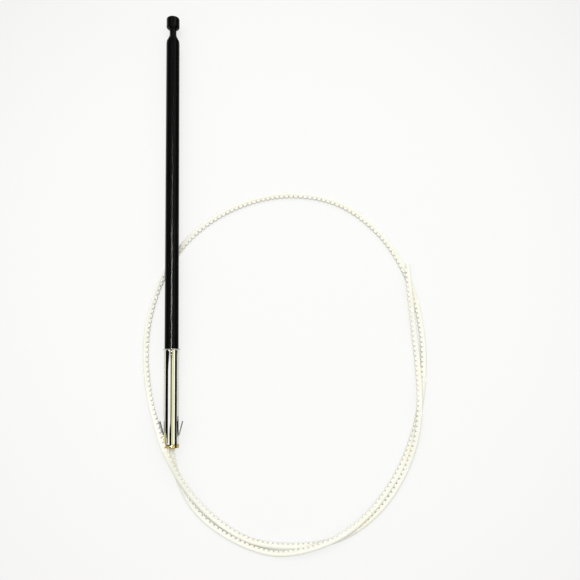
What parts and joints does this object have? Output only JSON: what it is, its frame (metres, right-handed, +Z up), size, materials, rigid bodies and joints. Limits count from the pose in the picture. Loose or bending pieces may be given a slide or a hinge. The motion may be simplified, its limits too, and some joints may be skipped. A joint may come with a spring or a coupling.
{
  "type": "telescopic aerial mast",
  "caption": "Telescopic mast for a powered car aerial, with knob, nested sections, sliding guide sleeve with sprung barbs, stop collar and toothed drive cable.",
  "frame": {"origin": "on the mast's axis, in the plane of the guide sleeve's flange seat", "axes": "+Y along the mast towards its tip, +X to the side on which the drive cable is coiled, +Z up from the surface it lies on"},
  "size_m": [0.1799, 0.3514, 0.0145],
  "materials": {
    "black_knob": "gloss",
    "black_tube": "satin black",
    "bright_sleeve": "bright nickel plate",
    "brass": "turned",
    "spring_bronze": "rolled",
    "bright_tube": "bright plate",
    "rod_steel": "ground",
    "ivory_nylon": "semi-matt"
  },
  "bodies": {
    "outer_section": {"outer_tube": "black_tube", "stop_collar": "brass", "drive_cable": "ivory_nylon"},
    "sleeve": {"guide_sleeve": "bright_sleeve"},
    "third_section": {"tube_3": "bright_tube", "foot_3": "brass", "contact_spring_3": "spring_bronze"},
    "second_section": {"tube_2": "bright_tube", "foot_2": "brass", "contact_spring_2": "spring_bronze"},
    "rod": {"inner_rod": "rod_steel", "tip_cap": "black_knob", "rod_ferrule": "brass", "rod_contact_spring": "spring_bronze", "cable_inner_end": "ivory_nylon"}
  },
  "joints": [
    {"name": "sleeve_slide", "type": "slide", "parent": "outer_section", "child": "sleeve", "axis": [0, 1, 0], "range_m": [0, 0.205]},
    {"name": "third_section_slide", "type": "slide", "parent": "outer_section", "child": "third_section", "axis": [0, 1, 0], "range_m": [0, 0.24]},
    {"name": "second_section_slide", "type": "slide", "parent": "third_section", "child": "second_section", "axis": [0, 1, 0], "range_m": [0, 0.24]},
    {"name": "rod_slide", "type": "slide", "parent": "second_section", "child": "rod", "axis": [0, 1, 0], "range_m": [0, 0.24]}
  ]
}
